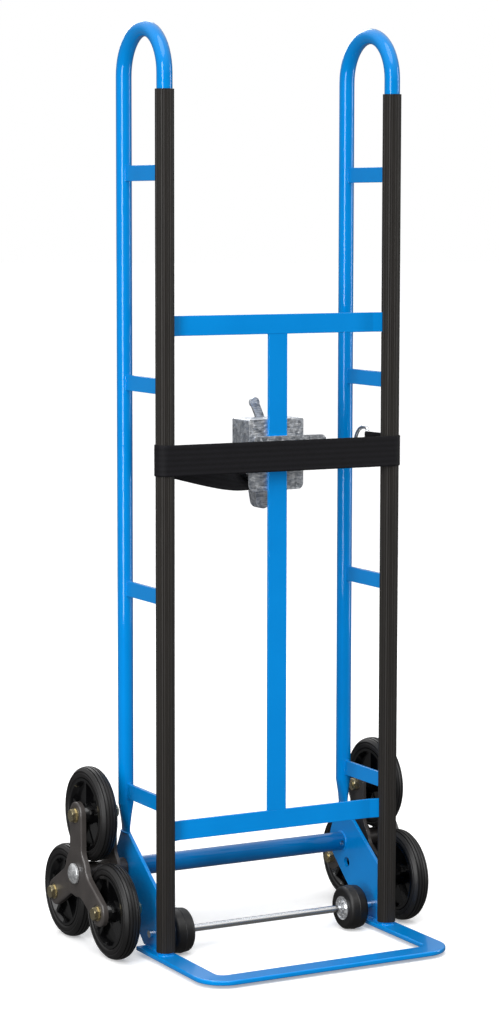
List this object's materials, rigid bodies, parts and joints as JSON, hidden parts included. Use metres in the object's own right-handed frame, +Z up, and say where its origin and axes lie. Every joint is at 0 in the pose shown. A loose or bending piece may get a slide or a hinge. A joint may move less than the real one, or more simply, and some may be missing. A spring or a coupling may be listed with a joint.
{
  "type": "stair climbing hand truck",
  "caption": "Tall tubular hand truck with an open toe hoop, turning spiders of small wheels for stairs, front rollers, ribbed post sleeves and a ratchet winch with a tie strap.",
  "frame": {"origin": "on the floor, under the middle of the truck's outline seen from above", "axes": "+Z up, the load and the toe hoop towards -Y, the user and the wheels towards +Y, +X to the right seen from the load side"},
  "size_m": [0.622, 0.498, 1.5078],
  "materials": {
    "blue_powder_coat": "gloss powder coat on steel",
    "ribbed_plastic": "matte extruded plastic",
    "black_coat": "satin black coat on steel",
    "black_moulding": "gloss moulded nylon",
    "tyre_rubber": "matte solid rubber",
    "roller_rubber": "satin rubber",
    "yellow_zinc": "yellow passivated zinc",
    "bright_zinc": "bright zinc plate",
    "bright_rod": "bright drawn and plated",
    "spangled_zinc": "galvanised sheet with spangle",
    "black_webbing": "woven polyester webbing"
  },
  "bodies": {
    "frame": {"toe_hoop": "blue_powder_coat", "upper_crossbar": "blue_powder_coat", "lower_crossbar": "blue_powder_coat", "centre_upright": "blue_powder_coat", "axle_tube": "blue_powder_coat", "main_axle": "bright_zinc", "roller_rod": "bright_rod", "rod_collars": "bright_zinc", "strap_hook": "bright_rod", "strap_ring": "bright_rod", "tie_strap": "black_webbing", "winch_housing": "spangled_zinc", "winch_back_plate": "spangled_zinc", "clamp_plate": "spangled_zinc", "clamp_bolts": "bright_zinc", "holding_pawl_pin": "bright_zinc", "side_frame_left": "blue_powder_coat", "sleeve_left": "ribbed_plastic", "rungs_left": "blue_powder_coat", "gusset_left": "blue_powder_coat", "axle_cap_left": "bright_zinc", "side_frame_right": "blue_powder_coat", "sleeve_right": "ribbed_plastic", "rungs_right": "blue_powder_coat", "gusset_right": "blue_powder_coat", "axle_cap_right": "bright_zinc"},
    "spider_left": {"spider_inner_left": "black_coat", "spider_outer_left": "black_coat", "spider_hub_left": "black_coat", "wheel_bolts_left": "yellow_zinc", "wheel_nuts_left": "yellow_zinc"},
    "wheel_top_left": {"tyre_top_left": "tyre_rubber", "rim_top_left": "black_moulding"},
    "wheel_front_left": {"tyre_front_left": "tyre_rubber", "rim_front_left": "black_moulding"},
    "wheel_rear_left": {"tyre_rear_left": "tyre_rubber", "rim_rear_left": "black_moulding"},
    "roller_left": {"roller_tyre_left": "roller_rubber", "roller_hub_left": "bright_zinc"},
    "spider_right": {"spider_inner_right": "black_coat", "spider_outer_right": "black_coat", "spider_hub_right": "black_coat", "wheel_bolts_right": "yellow_zinc", "wheel_nuts_right": "yellow_zinc"},
    "wheel_top_right": {"tyre_top_right": "tyre_rubber", "rim_top_right": "black_moulding"},
    "wheel_front_right": {"tyre_front_right": "tyre_rubber", "rim_front_right": "black_moulding"},
    "wheel_rear_right": {"tyre_rear_right": "tyre_rubber", "rim_rear_right": "black_moulding"},
    "roller_right": {"roller_tyre_right": "roller_rubber", "roller_hub_right": "bright_zinc"},
    "spindle": {"winch_spindle": "bright_zinc", "ratchet_wheel": "bright_zinc", "webbing_roll": "black_webbing"},
    "holding_pawl": {"holding_pawl": "spangled_zinc"},
    "handle": {"winch_handle": "spangled_zinc", "drive_pawl_pin": "bright_zinc"},
    "drive_pawl": {"drive_pawl": "spangled_zinc"}
  },
  "joints": [
    {"name": "spider_left_turn", "type": "hinge", "parent": "frame", "child": "spider_left", "pos_m": [-0.266, 0.087, 0.1265], "axis": [1, 0, 0], "continuous": true},
    {"name": "wheel_top_left_roll", "type": "hinge", "parent": "spider_left", "child": "wheel_top_left", "pos_m": [-0.2715, 0.087, 0.2235], "axis": [1, 0, 0], "continuous": true},
    {"name": "wheel_front_left_roll", "type": "hinge", "parent": "spider_left", "child": "wheel_front_left", "pos_m": [-0.2715, 0.00299, 0.078], "axis": [1, 0, 0], "continuous": true},
    {"name": "wheel_rear_left_roll", "type": "hinge", "parent": "spider_left", "child": "wheel_rear_left", "pos_m": [-0.2715, 0.171, 0.078], "axis": [1, 0, 0], "continuous": true},
    {"name": "roller_left_roll", "type": "hinge", "parent": "frame", "child": "roller_left", "pos_m": [-0.164, -0.014, 0.0375], "axis": [1, 0, 0], "continuous": true},
    {"name": "spider_right_turn", "type": "hinge", "parent": "frame", "child": "spider_right", "pos_m": [0.266, 0.087, 0.1265], "axis": [1, 0, 0], "continuous": true},
    {"name": "wheel_top_right_roll", "type": "hinge", "parent": "spider_right", "child": "wheel_top_right", "pos_m": [0.2715, 0.087, 0.2235], "axis": [1, 0, 0], "continuous": true},
    {"name": "wheel_front_right_roll", "type": "hinge", "parent": "spider_right", "child": "wheel_front_right", "pos_m": [0.2715, 0.00299, 0.078], "axis": [1, 0, 0], "continuous": true},
    {"name": "wheel_rear_right_roll", "type": "hinge", "parent": "spider_right", "child": "wheel_rear_right", "pos_m": [0.2715, 0.171, 0.078], "axis": [1, 0, 0], "continuous": true},
    {"name": "roller_right_roll", "type": "hinge", "parent": "frame", "child": "roller_right", "pos_m": [0.164, -0.014, 0.0375], "axis": [1, 0, 0], "continuous": true},
    {"name": "spindle_turn", "type": "hinge", "parent": "frame", "child": "spindle", "pos_m": [0, -0.019, 0.803], "axis": [0, 1, 0], "continuous": true, "deforming": ["tie_strap"]},
    {"name": "holding_pawl_lift", "type": "hinge", "parent": "frame", "child": "holding_pawl", "pos_m": [0.014, 0.0135, 0.846], "axis": [0, 1, 0], "range_deg": [0, 20], "stiffness_Nm_per_rad": 0.06, "springref_deg": -20.05},
    {"name": "handle_swing", "type": "hinge", "parent": "frame", "child": "handle", "pos_m": [0, 0.0205, 0.803], "axis": [0, 1, 0], "range_deg": [-100, 100]},
    {"name": "drive_pawl_lift", "type": "hinge", "parent": "handle", "child": "drive_pawl", "pos_m": [-0.00632, 0.0135, 0.75822], "axis": [0, 1, 0], "range_deg": [0, 15], "stiffness_Nm_per_rad": 0.04, "springref_deg": -20.05}
  ]
}
